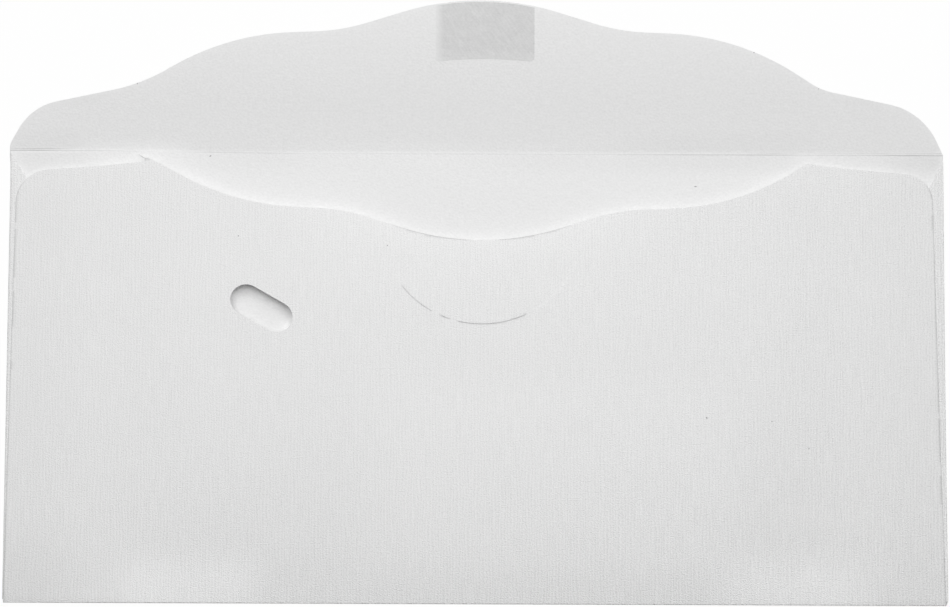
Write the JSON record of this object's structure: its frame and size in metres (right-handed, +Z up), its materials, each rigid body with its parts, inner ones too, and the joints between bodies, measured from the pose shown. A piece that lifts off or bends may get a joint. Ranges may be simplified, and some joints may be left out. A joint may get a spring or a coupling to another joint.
{
  "type": "paper envelope",
  "caption": "Long white paper envelope, flap open: scalloped seal flap with dried gum, scalloped throat, oblong view slot, nicked half-moon easy-open cut.",
  "frame": {"origin": "on the table, under the middle of the footprint of the envelope with its flap open", "axes": "+X to the right along the width, +Y from the bottom edge towards the tip of the seal flap, +Z up out of the back panel"},
  "size_m": [0.229, 0.1516, 0.0063],
  "materials": {
    "paper": "matte",
    "gum": "satin",
    "glue": "satin"
  },
  "bodies": {
    "root": {"envelope_sheet": "paper", "seal_gum": "gum", "left_seam_glue": "glue", "right_seam_glue": "glue"}
  },
  "joints": []
}
